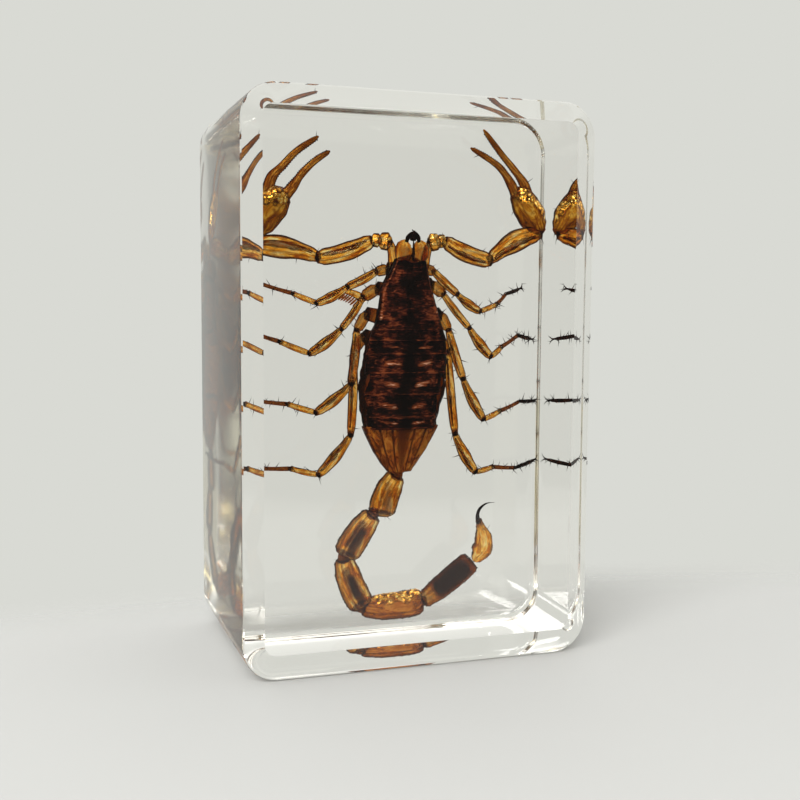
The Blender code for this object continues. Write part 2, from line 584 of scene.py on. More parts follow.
# %% Joints of the legs
LEG_JOINTS = {
    "leg_1_right": [(2.9, 3.6, 42.4), (4.0, 3.3, 42.1), (6.5, 2.0, 39.6), (9.2, 2.0, 37.7), (12.0, 5.0, 38.5),
                    (13.8, 7.5, 39.7), (16.1, 9.8, 40.3)],
    "leg_2_right": [(3.9, 3.6, 40.7), (5.1, 3.2, 39.6), (8.0, 2.0, 35.8), (10.6, 2.0, 32.6),
                    (12.5, 4.5, 33.6), (15.4, 7.5, 34.9), (17.8, 10.0, 34.4)],
    "leg_3_right": [(4.9, 3.6, 37.4), (5.8, 3.3, 35.6), (7.3, 2.0, 30.1), (9.8, 2.0, 25.5), (12.6, 5.0, 26.2),
                    (15.9, 8.0, 27.1), (18.3, 10.2, 27.0)],
    "leg_4_right": [(4.6, 4.0, 35.0), (5.9, 3.9, 33.2), (6.4, 2.0, 23.9), (8.9, 2.0, 19.5), (11.8, 5.0, 19.7),
                    (15.5, 8.0, 19.2), (18.5, 10.4, 19.8)],
    "leg_1_left": [(-1.4, 3.6, 42.3), (-2.7, 3.3, 42.0), (-6.2, 2.0, 40.3), (-9.6, 2.0, 38.5),
                   (-11.7, 5.0, 39.5), (-14.8, 7.7, 40.5), (-17.0, 9.8, 41.2)],
    "leg_2_left": [(-2.6, 3.6, 40.2), (-4.2, 3.3, 39.2), (-6.9, 2.0, 35.7), (-10.4, 2.0, 33.1),
                   (-13.2, 4.6, 34.3), (-16.0, 7.6, 35.3), (-18.0, 10.0, 35.0)],
    "leg_3_left": [(-3.8, 3.6, 37.4), (-4.9, 3.3, 35.6), (-5.8, 2.0, 29.7), (-9.7, 2.0, 26.7),
                   (-12.3, 5.0, 27.5), (-15.6, 8.2, 27.8), (-18.0, 10.6, 27.5)],
    "leg_4_left": [(-4.0, 4.0, 35.0), (-5.2, 3.9, 33.2), (-5.8, 2.0, 24.1), (-9.4, 2.0, 19.9),
                   (-12.0, 5.0, 20.4), (-15.4, 8.1, 20.3), (-18.1, 10.6, 20.8)],
}
LEG_WIDTHS = {
    "1": (1.2, 0.98, 1.1, 0.62, 0.46, 0.40),
    "2": (1.4, 0.86, 1.2, 0.66, 0.48, 0.42),
    "3": (1.2, 1.05, 1.25, 0.66, 0.48, 0.42),
    "4": (1.2, 1.05, 1.3, 0.66, 0.50, 0.42),
}
LEG_PROFILES = ("knob", "femur", "patella", "tibia", "slim", "foot")
LEG_STRANDS = (0.0, 0.36, 0.4, 0.0, 0.0, 0.0)
LEG_BASES = (0.25, 0.0, 0.0, 0.1, 0.5, 0.95)


def claw(shell, root, heading, size, turn):
    """One small hooked claw at a foot's tip."""
    side, front = ring_frame(heading)
    line, widths = [], []
    for i in range(8):
        t = i / 7
        hook = heading * (size * t) + side * (turn * size * 0.55 * t * t)
        line.append(root + (hook + front * (size * 0.25 * t * (1 - t))))
        widths.append(0.24 * MM * (1 - 0.8 * t))
    loft(shell, line, widths, 1.0, (), 0.0, lambda s, a: 0.95, None, sides=8)


def make_leg(name, joints, muscle):
    """A leg from hip to foot, with each segment let a little into the next."""
    shell = Shell()
    places = [mm(*joint) for joint in joints]
    widths = LEG_WIDTHS[name.split("_")[1]]
    out = 1 if name.endswith("right") else -1
    for i, profile in enumerate(LEG_PROFILES):
        start, end = places[i], places[i + 1]
        overlap = (end - start).normalized() * (0.16 * MM)
        bow = {"femur": 0.12, "patella": 0.18}.get(profile, 0.05) * out
        segment(shell, muscle, start - overlap, end + overlap, widths[i], profile, (bow, 0.1),
                base=LEG_BASES[i], strand=LEG_STRANDS[i])
    heading = (places[-1] - places[-2]).normalized()
    for turn in (-1, 1):
        claw(shell, places[-1] + heading * (0.1 * MM), heading, 0.95 * MM, turn)
    return shell.piece(name, AMBER)


print("legs to make:", len(LEG_JOINTS))

# %% The eight legs
muscle = Shell()
limbs = [make_leg(name, joints, muscle) for name, joints in LEG_JOINTS.items()]

# %% [markdown]
# ## Pincers
# Each pincer arm starts at a crinkled knob beside the jaws, runs out through a femur and a patella, and
# turns up into a swollen hand with two long fingers. The hand is a red-brown bulb with crumpled gold over
# it, and the fingers are dark, with a row of small teeth along the edges that meet.

# %% Pincer arms
ARMS = {
    "right": {
        "coxa": (2.9, 3.3, 41.8),
        "joints": [(3.2, 2.8, 45.2), (5.4, 3.4, 45.5), (11.3, 5.0, 43.4), (18.3, 8.4, 46.8)],
        "hand": [(18.5, 8.6, 46.9), (17.5, 8.5, 48.3), (16.3, 8.3, 50.0), (15.4, 8.2, 51.7)], "width": 3.4,
        "fixed": [(16.6, 8.2, 50.8), (16.0, 8.1, 52.4), (14.7, 7.8, 53.9), (13.0, 7.5, 55.6),
                  (10.6, 7.0, 58.2)],
        "moving": [(15.3, 8.2, 50.6), (14.4, 8.1, 52.3), (13.1, 7.8, 53.9), (11.6, 7.5, 54.9),
                   (9.1, 7.1, 56.1)],
        "bow": 0.55, "gold": 38,
    },
    "left": {
        "coxa": (-0.9, 3.3, 41.8),
        "joints": [(-1.1, 2.8, 45.2), (-3.3, 3.4, 45.4), (-9.1, 5.0, 43.4), (-16.6, 8.4, 44.6)],
        "hand": [(-16.6, 8.5, 45.3), (-15.2, 8.5, 47.2), (-13.6, 8.4, 49.1), (-12.6, 8.3, 50.6)],
        "width": 3.9,
        "fixed": [(-14.2, 8.2, 50.0), (-13.6, 8.1, 52.0), (-12.5, 7.9, 53.2), (-10.9, 7.6, 54.9),
                  (-8.6, 7.0, 56.5)],
        "moving": [(-12.4, 8.2, 49.8), (-11.3, 8.1, 51.1), (-10.3, 7.9, 52.5), (-8.9, 7.6, 53.9),
                   (-7.3, 7.1, 55.0)],
        "bow": -0.5, "gold": 145,
    },
}
HAND_PROFILE = [(0, 0.36), (0.18, 0.72), (0.4, 1.0), (0.65, 0.97), (0.9, 0.8), (1, 0.6)]
FINGER_PROFILE = [(0, 1.0), (0.2, 0.85), (0.45, 0.6), (0.8, 0.5), (0.95, 0.4), (1, 0.14)]


def curve_through(places, count):
    """Points along a smooth curve through given places (Catmull-Rom)."""
    padded = [places[0] * 2 - places[1]] + list(places) + [places[-1] * 2 - places[-2]]
    line = []
    for i in range(count):
        t = i / (count - 1) * (len(places) - 1)
        k = min(int(t), len(places) - 2)
        t -= k
        a, b, c, d = padded[k:k + 4]
        line.append((b * 2 + (c - a) * t + (a * 2 - b * 5 + c * 4 - d) * t ** 2
                     + (b * 3 - a - c * 3 + d) * t ** 3) / 2)
    return line


def loft_profile(shell, places, width, profile, count, **look):
    """A tube along a smooth curve through places in millimetres. Returns the curve."""
    line = curve_through([mm(*p) for p in places], count)
    widths = [width * MM * smooth_profile(profile, i / (count - 1)) for i in range(count)]
    loft(shell, line, widths, **look)
    return line


def hand_gold(side):
    """A crumpled patch along one side of the hand, which spreads over the front of its top."""
    def tint(share, angle):
        over = max(0.0, min(1.0, (share - 0.55) / 0.35))
        away = (angle - side - (90 - side) * over + 180) % 360 - 180
        return 1.2 * math.exp(-(away / (30 + 34 * over)) ** 2) * min(1.0, 4 * share)
    return tint


def hand_dark(share, angle):
    """Dark at the wrist, and again where the fingers start."""
    return 0.5 * math.exp(-(share / 0.07) ** 2) + 0.45 * max(0.0, share - 0.75) * 4


def knob_gold(share, angle):
    """The crinkled knobs shine all over."""
    return 0.66


def make_arm(side, arm, muscle):
    """One pincer arm as far as the wrist."""
    shell = Shell()
    places = [mm(*p) for p in arm["joints"]]
    out = 1 if side == "right" else -1
    knob = {"gold": knob_gold, "keel_size": 0.15}
    segment(shell, muscle, mm(*arm["coxa"]), places[0] + mm(0.2 * out, 0, 0.2), 1.05, "knob",
            (-0.2 * out, 0), base=0.1)
    segment(shell, muscle, places[0], places[0].lerp(places[1], 0.62), 1.75, "knob", **knob)
    segment(shell, muscle, places[0].lerp(places[1], 0.5), places[1], 1.35, "knob", **knob)
    segment(shell, muscle, places[1] - mm(0.2 * out, 0, 0), places[2], 1.95, "femur",
            (0.35 * out, 0), strand=0.3, reach=0.04)
    segment(shell, muscle, places[2] - mm(0.3 * out, 0, 0), places[3], 2.45, "patella",
            (-arm["bow"], 0), strand=0.32, reach=0.04)
    return shell.piece("pincer_arm_" + side, AMBER)


def make_hand(side, arm):
    """The swollen hand, drawn out at its top into the base of the two fingers."""
    shell = Shell()
    loft_profile(shell, arm["hand"], arm["width"], HAND_PROFILE, 34, thickness=0.85, keels=LEG_KEELS,
                 keel_size=0.04, edge=22, dark=hand_dark, gold=hand_gold(arm["gold"]))
    return shell.piece("hand_" + side, HAND)


def make_fingers(side, arm):
    """The two fingers, with the line and half width of each for its teeth."""
    shell = Shell()
    edges = []
    for name, width in (("fixed", 1.35), ("moving", 1.3)):
        line = loft_profile(shell, arm[name], width, FINGER_PROFILE, 30, thickness=0.8,
                            keels=(0, 90, 180, 270),
                            keel_size=0.1, dark=lambda share, angle: 0.02 + 0.1 * share, gold=None, sides=20)
        edges.append((line, width / 2))
    return shell.piece("fingers_" + side, FINGER), edges


# thick shell of the hand, part tanned and lifted off the resin: brown, with a crumpled gold shine
HAND = amber_cuticle("brown_hand_cuticle", [
    (0.34, "5a2404"), (0.46, "a05808"), (0.56, "d08a1c"), (0.68, "f8c850")], 0.5)
# hard shell of the fingers, tanned along their whole length: an even brown with faint streaks
FINGER = amber_cuticle("tanned_finger_cuticle", [(0.34, "5c2606"), (0.48, "a85e12"), (0.62, "e8a840")], 0.45)
finger_lines = {}
for side, arm in ARMS.items():
    limbs.append(make_arm(side, arm, muscle))
    made, finger_lines[side] = make_fingers(side, arm)
    limbs.extend([made, make_hand(side, arm)])

# %% [markdown]
# ## Jaws and body
# Two swollen jaws sit at the front, each with a black fang, and their tips cross. The body behind them is a
# sleeve of soft skin with hard plates over it: one shield on the front part, then seven overlapping plates.
# Each plate is a shallow arch with a thickness, so that its rear edge stands over the next. The outline
# comes from a few given stations down the body.

# %% Outline of the body
# height above the base, middle and half width, in millimetres
STATIONS = [
    (43.4, 1.05, 1.8), (41.5, 0.8, 2.4), (39.8, 0.6, 3.05), (36.8, 0.8, 3.75), (34.5, 0.75, 4.6),
    (32.5, 0.6, 5.0),
    (30.6, 0.45, 5.1), (28.4, 0.1, 5.05), (24.7, 0.0, 4.3), (22.2, -0.1, 3.05), (20.8, -0.15, 2.1),
    (19.8, -0.1, 1.35),
]
# how far behind the block's middle plane the back and the belly lie, in millimetres
DORSAL = 0.1
VENTRAL = 5.0
BODY_TOP = STATIONS[0][0]
BODY_END = STATIONS[-1][0]


def station(height):
    """Middle and half width of the body at a height, in millimetres, on a curve through the stations."""
    heights = [s[0] for s in STATIONS]
    k = next((i for i in range(len(heights) - 2) if height >= heights[i + 1]), len(heights) - 2)
    rows = [STATIONS[max(k - 1, 0)], STATIONS[k], STATIONS[k + 1], STATIONS[min(k + 2, len(heights) - 1)]]
    t = (heights[k] - height) / (heights[k] - heights[k + 1])
    values = []
    for field in (1, 2):
        a, b, c, d = (row[field] for row in rows)
        values.append(0.5 * (2 * b + (c - a) * t + (2 * a - 5 * b + 4 * c - d) * t * t
                             + (3 * b - a - 3 * c + d) * t ** 3))
    return values


def plate(shell, top, bottom, width=0.94, crown=2.3, lift=0.18, face=1, shape=None, tints=None,
          rows=16, columns=56, thickness=0.16, notch=None):
    """One closed arched plate of the back (face 1) or belly (face -1), with its rear edge standing proud."""
    middle_depth = (DORSAL + VENTRAL) / 2
    layers = []
    for layer in (0, 1):
        inset = thickness * layer
        places, keel, dark, gold = [], [], [], []
        for r in range(rows + 1):
            share = r / rows
            for c in range(columns + 1):
                across = 2 * c / columns - 1
                height = top + (bottom - top) * share + (notch(share, across) if notch else 0.0)
                middle, half = station(max(BODY_END, min(BODY_TOP, height)))
                bulge = math.sqrt(max(0.0, 1 - (abs(across) * 0.985) ** 2.3))
                x = middle + half * width * across
                proud = lift * share ** 3 - inset
                swell = shape(share, across) if shape else 1.0
                rise = swell * crown * bulge + proud
                y = middle_depth - face * rise
                jitter = 0.06 * noise.noise(Vector((x, y, height)) * 1.7) + 0.05 * noise.noise(
                    Vector((x * 1.5, y, height * 6.0)))
                places.append(mm(x, y + jitter * (1 - layer), height))
                k, d, g = tints(share, across) if tints else (0.0, 0.0, 0.0)
                keel.append(k)
                dark.append(d)
                gold.append(g)
        layers.append(shell.add_points(places, keel, dark, gold))
    wide = columns + 1
    outer, inner = layers

    def quad(a, b, c, d, uv):
        shell.faces.append([a, b, c, d] if face == 1 else [d, c, b, a])
        shell.uvs.extend(uv if face == 1 else uv[::-1])

    for r in range(rows):
        for c in range(columns):
            here, below = r * wide + c, (r + 1) * wide + c
            uv = [(c / columns, r / rows), (c / columns, (r + 1) / rows),
                  ((c + 1) / columns, (r + 1) / rows), ((c + 1) / columns, r / rows)]
            quad(outer + here, outer + below, outer + below + 1, outer + here + 1, uv)
            quad(inner + here + 1, inner + below + 1, inner + below, inner + here, uv[::-1])
    flat = [(0.5, 0.5)] * 4
    last = rows * wide
    for c in range(columns):
        quad(outer + c + 1, inner + c + 1, inner + c, outer + c, flat)
        quad(outer + last + c, inner + last + c, inner + last + c + 1, outer + last + c + 1, flat)
    for r in range(rows):
        a, b = r * wide, (r + 1) * wide
        quad(outer + a, inner + a, inner + b, outer + b, flat)
        quad(outer + b + columns, inner + b + columns, inner + a + columns, outer + a + columns, flat)


print("body:", round(BODY_TOP - BODY_END, 1), "mm long and", round(2 * station(30.6)[1], 1), "mm wide")


# %% [markdown]
# ## Soft skin under the plates
# Between its plates a scorpion has folded skin, which shows as a brown ground in the gaps. One closed tube
# that follows the body's outline is enough, because the plates hide nearly all of it.

# %% Soft sleeve under the plates
def body_sleeve():
    """The tube of skin. It is darker towards the belly."""
    shell = Shell()
    line, widths = [], []
    for i in range(60):
        height = 43.2 - 23.2 * i / 59
        middle, half = station(max(BODY_END, height))
        line.append(mm(middle, 2.75, height))
        widths.append(2 * half * MM * 0.97)
    loft(shell, line, widths, 0.42, (0, 180), 0.0, lambda s, a: 0.25 * math.exp(-((a - 270) / 60) ** 2), None,
         sides=56, wobble=0.05)
    return shell.piece("body_membrane", AMBER_BODY)


body = [body_sleeve()]


# %% [markdown]
# ## Front shield
# The shield is one hard plate over the front of the body. Its middle eyes stand on a dark mound, a groove
# runs back from them, and its rough side edges carry pale creases and painted glints. It could be sculpted. A
# formula for the height over an arched grid gives the same few forms and can be read and changed.

# %% Front shield
def shield_tints(share, across):
    """Black round the eyes, in the groove and along the front, and warm towards the flanks, with painted
    glints on the flanks and side edges.
    """
    eyes = math.exp(-(((share - 0.34) / 0.13) ** 2 + (across / 0.32) ** 2))
    front = math.exp(-(share / 0.16) ** 2)
    groove = 0.6 * math.exp(-(across / 0.1) ** 2) * share
    warm = math.exp(-((abs(across) - 0.68) / 0.26) ** 2) * min(1.0, 0.25 + share)
    # the side edges get the gold tint, which paints pale creases and glints there
    side = math.exp(-((abs(across) - 0.9) / 0.07) ** 2)
    return warm, min(1.0, 1.2 * eyes + 0.7 * front + groove), max(0.6 * warm, 0.9 * side)


def shield_shape(share, across):
    """Raised mound for the middle eyes, a groove behind it, and a low front."""
    mound = 0.22 * math.exp(-(((share - 0.36) / 0.09) ** 2 + (across / 0.16) ** 2))
    groove = -0.12 * math.exp(-(across / 0.09) ** 2) * smooth_profile([(0, 0.6), (0.3, 0), (0.55, 1), (1, 1)],
                                                                      share)
    return 0.86 + 0.14 * share + mound + groove


def shield_front(share, across):
    """The front edge dips in the middle and falls away at its corners."""
    fade = (1 - share) ** 2
    return fade * (-0.3 * math.exp(-(across / 0.3) ** 2) - 0.2 * abs(across) ** 8)


def make_shield():
    """The shield as one closed plate."""
    shell = Shell()
    plate(shell, 43.2, 36.7, 0.99, 2.45, 0.1, 1, shield_shape, shield_tints, 64, 72, notch=shield_front)
    return shell.piece("front_shield", TANNED)


body.append(make_shield())

# %% [markdown]
# ## Plates of the back and belly
# Seven plates overlap down the back like tiles, and a tapering amber cone follows them. They repeat, so one
# function makes each from its top and bottom heights. Five plates of the same kind close the belly, each
# with a pair of breathing slits.

# %% Back plates
PLATE_WIDTHS = (0.97, 0.97, 0.95, 0.92, 0.87, 0.86, 0.9)
BACK_PLATES = [(37.0, 35.6), (35.9, 34.4), (34.7, 32.9), (33.3, 30.8), (31.2, 28.4), (28.8, 25.9),
               (26.3, 24.7)]


def plate_tints(number):
    """Dark down the middle, with painted shadow in front under the plate ahead; warm on the flanks and along
    the rear rim, with pale creases and painted glints on two scars and on the rim.
    """
    def tints(share, across):
        strength = 0.55 + 0.45 * min(1.0, number / 3)
        slope = share - 0.66 + 0.3 * abs(across)
        scar_glint = math.exp(-(((abs(across) - 0.4) / 0.27) ** 4 + (slope / 0.2) ** 2))
        spot = 0.8 * math.exp(-(((abs(across) - 0.8) / 0.07) ** 2 + ((share - 0.45) / 0.22) ** 2))
        rim = math.exp(-((share - 0.93) / 0.05) ** 2)
        flank = math.exp(-((abs(across) - 0.6) / 0.32) ** 2)
        middle = math.exp(-(across / 0.15) ** 2)
        # painted shadow along the front, where the rear rim of the plate ahead stands over it
        front = math.exp(-(share / 0.16) ** 2)
        pale = max(strength * scar_glint, strength * spot, 0.74 * rim)
        return 0.5 * flank + 0.7 * rim, min(1.0, 1.1 * middle + 0.8 * front), pale
    return tints


def make_back_plates():
    """The seven plates in one piece, since they grew as one back."""
    shell = Shell()
    for number, (top, bottom) in enumerate(BACK_PLATES):
        plate(shell, top, bottom, PLATE_WIDTHS[number], 2.42, 0.3, 1, None, plate_tints(number), 14, 72)
    return shell.piece("back_plates", TANNED)


def last_tints(share, across):
    """A shadow down the middle that fades rearwards, and three ridges a side."""
    middle = math.exp(-(across / 0.2) ** 2) * (0.6 - 0.35 * share)
    ridge = max(math.exp(-((abs(across) - k) / 0.035) ** 2) for k in (0.3, 0.62, 0.97))
    return 0.8 * ridge, middle, 0.25


def last_shape(share, across):
    """The cone flattens towards the tail."""
    return 1 - 0.35 * share


def make_last_plate():
    """The cone's back and belly halves."""
    shell = Shell()
    for face in (1, -1):
        plate(shell, 25.0, 19.9, 1.0, 2.15, 0.05, face, last_shape, last_tints, 30, 72)
    return shell.piece("last_body_plate", AMBER_RED)


BELLY_PLATES = [(33.2, 31.4), (31.7, 29.6), (29.9, 27.8), (28.1, 26.2), (26.5, 24.6)]


def belly_tints(share, across):
    """A dark slit on either side, a darker rim, and painted shadow along the front under the plate ahead."""
    slit = math.exp(-(((abs(across) - 0.6) / 0.08) ** 2 + ((share - 0.6) / 0.1) ** 2))
    rim = math.exp(-((share - 0.96) / 0.05) ** 2)
    # the term at the front edge is painted shadow under the rim of the plate ahead
    return 0.55 * rim, min(1.0, slit + 0.45 * math.exp(-(share / 0.1) ** 2) + 0.12), 0.2


def make_belly_plates():
    """The five belly plates in one piece."""
    shell = Shell()
    for top, bottom in BELLY_PLATES:
        plate(shell, top, bottom, 0.92, 2.42, 0.15, -1, None, belly_tints, 12, 56)
    return shell.piece("belly_plates", AMBER_RED)


body.extend([make_back_plates(), make_last_plate(), make_belly_plates()])


# %% [markdown]
# ## Jaws
# Each jaw is a swollen amber bulb, and between them the black fangs cross in a point. Both are lofted like
# the limbs, since a bulb is a short tube whose profile swells in the middle.

# %% Jaws
FANG_PROFILE = [(0, 0.8), (0.3, 1.0), (0.6, 0.7), (1, 0.2)]


def bulb_shadow(share, angle):
    """Darker over the middle of a bulb's front."""
    return 0.46 * math.sin(math.pi * share) * max(0, math.sin(math.radians(angle)))


def bulb_shine(share, angle):
    return 0.42 * max(0, math.sin(math.radians(angle)))


def make_jaws():
    """Two bulbs in one piece and the black fangs in another."""
    shell, fangs = Shell(), Shell()
    for x, out in ((0.08, -1), (1.98, 1)):
        line = [(x, 2.2, 42.9), (x, 1.6, 43.8), (x, 1.6, 44.6), (x - 0.12 * out, 1.6, 45.3)]
        loft_profile(shell, line, 2.0, [(0, 0.5), (0.3, 0.94), (0.58, 1.0), (0.82, 0.8), (1, 0.44)], 24,
                     thickness=0.9, keels=(0, 180), keel_size=0.01, edge=24, dark=bulb_shadow,
                     gold=bulb_shine)
    for width, *places in ((0.5, (0.3, 1.2, 45.2), (0.55, 0.9, 45.9), (1.2, 0.8, 46.4)),
                           (0.5, (1.75, 1.2, 45.2), (1.5, 0.9, 45.9), (0.85, 0.8, 46.5)),
                           (0.85, (1.03, 1.1, 45.4), (1.03, 0.9, 45.8), (1.03, 0.8, 46.3)),
                           (0.36, (1.03, 0.9, 43.2), (1.03, 0.7, 44.4), (1.03, 0.8, 45.6))):
        loft_profile(fangs, places, width, FANG_PROFILE, 16, thickness=0.8, keels=())
    return shell.piece("jaws", AMBER), fangs.piece("fangs", FANG)


body.extend(make_jaws())


# %% [markdown]
# ## Underside of the front part
# Eight flat hips carry the legs and meet round a small breastplate. They face away in the block and show
# through it only from behind, so they are plain flattened tubes that start where each leg's joints start.

# %% Underside of the front part
def make_hips():
    """Eight flattened hips that meet along the middle, with a small breastplate between them."""
    shell = Shell()
    for name, joints in LEG_JOINTS.items():
        hip = mm(*joints[0])
        row = int(name.split("_")[1])
        offset = 0.35 if name.endswith("right") else -0.35
        drop = (0.2, 0.7, 1.0, 1.6)[row - 1]
        middle = mm(0.85 + offset, 4.7, hip.z / MM - drop)
        line = bent_line(middle, hip, (0.0, 0.0), 16)
        widths = [(2.1 - 0.7 * i / 15) * MM for i in range(16)]
        loft(shell, line, widths, 0.42, (0, 180), 0.04, dark_ends(0.1, 0.25), None)
    loft_profile(shell, [(0.85, 4.9, 39.4), (0.85, 5.15, 38.0), (0.85, 5.0, 36.4)], 1.3, PROFILES["knob"], 12,
                 thickness=0.4, keels=(), dark=lambda s, a: 0.4)
    return shell.piece("hips", AMBER_RED)


body.append(make_hips())

# %% [markdown]
# ## Tail
# The tail has five ridged segments and a sting. It curls to one side and back up, so the segments turn from
# one to the next. Each is a short barrel with ten keels, joined by a red-brown collar. The fourth is
# redder, with crumpled gold over it, and the fifth nearly black inside. The sting is a bulb that narrows
# into a curved black point.

# %% Tail segments
# name, start and end in millimetres, width, bow, base darkness, strength and spread of the dark core
TAIL = [
    ("tail_1", (-0.2, 3.5, 19.3), (-1.7, 4.8, 14.9), 3.1, 0.25, 0.0, 0.4, 24),
    ("tail_2", (-2.7, 5.0, 14.8), (-5.5, 6.5, 10.2), 3.15, 0.15, 0.0, 1.0, 20),
    ("tail_3", (-5.7, 6.8, 9.7), (-3.3, 8.2, 4.0), 3.05, 0.3, 0.0, 1.0, 18),
    ("tail_4", (-3.2, 8.4, 3.7), (3.9, 8.4, 3.9), 3.15, 0.25, 0.0, 0.0, 20),
    ("tail_5", (4.0, 8.2, 3.9), (9.7, 6.8, 8.5), 2.8, 0.1, 0.25, 1.1, 52),
]
BARREL = [(0, 0.6), (0.07, 0.76), (0.35, 0.94), (0.75, 1.0), (0.93, 0.96), (1, 0.8)]
# the keels at 0 and 180 lie on the outline seen from the front, where their dark tint is also painted shade
TAIL_KEELS = (0, 32, 62, 118, 148, 180, 212, 242, 298, 328)


def tail_tints(base, stripe, spread):
    """Dark ends, and the dark core that dried muscle makes down a tail segment, seen from both faces."""
    def tint(share, angle):
        near = min(share, 1 - share)
        along = smooth_profile([(0, 0), (0.2, 0), (0.36, 1), (0.86, 1), (0.97, 0)], share)
        core = stripe * along * math.exp(-(min(abs(angle - 94), abs(angle - 266)) / spread) ** 4)
        return min(1.0, base + math.exp(-(near / 0.025) ** 2) + core)
    return tint


def tail_gold(share, angle):
    """The fourth segment shines along its upper side."""
    return 0.95 * max(0.0, -math.cos(math.radians(angle + 20)))


def make_tail():
    """The five segments, and the collars between them as one piece."""
    made = []
    collars = Shell()
    for name, start, end, width, bow, base, stripe, spread in TAIL:
        shell = Shell()
        line = bent_line(mm(*start), mm(*end), (bow, 0.0), 34)
        widths = [width * MM * smooth_profile(BARREL, i / 33) for i in range(34)]
        gold = tail_gold if name == "tail_4" else None
        loft(shell, line, widths, 0.86, TAIL_KEELS, 0.05, tail_tints(base, stripe, spread), gold, sides=60,
             edge=23, cap=0.06)
        heading = (line[-1] - line[0]).normalized()
        neck = [line[0] - heading * (0.75 * MM) + heading * (0.3 * MM * i) for i in range(5)]
        loft(collars, neck, [width * MM * k for k in (0.3, 0.4, 0.46, 0.46, 0.3)], 0.9, (), 0.0,
             lambda s, a: 0.3, None, sides=24)
        made.append(shell.piece(name, AMBER_RED if name == "tail_4" else AMBER))
    made.append(collars.piece("tail_collars", AMBER_RED))
    return made


def make_sting():
    """The amber bulb and its black point."""
    shell, point = Shell(), Shell()
    loft_profile(shell, [(10.1, 6.75, 8.5), (10.8, 6.6, 9.5), (11.1, 6.3, 10.9), (10.4, 6.0, 13.4)], 2.5,
                 [(0, 0.34), (0.1, 0.6), (0.42, 1.0), (0.68, 0.86), (1, 0.3)], 30, thickness=0.95,
                 keels=(0, 180), keel_size=0.02, edge=26, dark=lambda s, a: 0.6 * max(0.0, s - 0.75) * 4,
                 gold=lambda s, a: 0.5)
    hook = [(10.42, 6.05, 13.0), (10.25, 6.0, 13.9), (10.5, 5.95, 14.7), (11.3, 5.9, 15.3), (12.3, 5.8, 15.4)]
    loft_profile(point, hook, 0.62, [(0, 1.0), (0.4, 0.6), (1, 0.08)], 26, thickness=1.0, keels=())
    return [shell.piece("sting_bulb", AMBER), point.piece("sting_point", FANG)]


tail = make_tail() + make_sting()
body.append(muscle.piece("dried_muscle_strands", MUSCLE))

for piece in limbs + body + tail:
    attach(piece, "root")
print("shell pieces:", len(limbs + body + tail))


# %% [markdown]
# ## Bristles, teeth and granules
# Small things that repeat are grown on the finished shells by Geometry Nodes. One tree scatters a bristle
# or a granule over a surface, thicker where the shell carries a given tint. The other sets a row of teeth
# along a curve, for the finger edges and for the two combs under the body. Both end as plain meshes.

# %% Helpers for node trees
def new_tree(name, inputs):
    """A Geometry Nodes tree with its geometry in and out, and named inputs as (name, type, value)."""
    tree = bpy.data.node_groups.new(name, "GeometryNodeTree")
    tree.interface.new_socket("Geometry", in_out="INPUT", socket_type="NodeSocketGeometry")
    for label, kind, value in inputs:
        socket = tree.interface.new_socket(label, in_out="INPUT", socket_type="NodeSocket" + kind)
        if value is not None:
            socket.default_value = value
    tree.interface.new_socket("Geometry", in_out="OUTPUT", socket_type="NodeSocketGeometry")
    return tree, add(tree, "NodeGroupInput")


def close_tree(tree, entry, grown):
    """Realize the instances, give them their finish and send them out."""
    real = add(tree, "GeometryNodeRealizeInstances", {"Geometry": grown})
    finished = add(tree, "GeometryNodeSetMaterial", {"Geometry": real, "Material": entry.outputs["Material"]})
    add(tree, "NodeGroupOutput", {"Geometry": finished})


def grow(name, base, tree, **values):
    """Runs a tree on a mesh or curve and returns the result as a plain mesh object."""
    holder = bpy.data.objects.new(name + "_base", base)
    scene.collection.objects.link(holder)
    modifier = holder.modifiers.new("grow", "NODES")
    modifier.node_group = tree
    for item in tree.interface.items_tree:
        key = item.name.replace(" ", "_")
        if item.in_out == "INPUT" and key in values:
            modifier[item.identifier] = values[key]
    depsgraph = bpy.context.evaluated_depsgraph_get()
    mesh = bpy.data.meshes.new_from_object(holder.evaluated_get(depsgraph))
    holder.modifiers.remove(modifier)
    bpy.data.objects.remove(holder)
    mesh.name = name
    mesh.shade_smooth()
    # a primitive brings an empty slot with it, so the one finish is set again on every face
    mesh.materials.clear()
    mesh.materials.append(values["Material"])
    mesh.polygons.foreach_set("material_index", np.zeros(len(mesh.polygons), np.int32))
    made = bpy.data.objects.new(name, mesh)
    scene.collection.objects.link(made)
    print(name + ":", len(mesh.polygons), "faces")
    return made


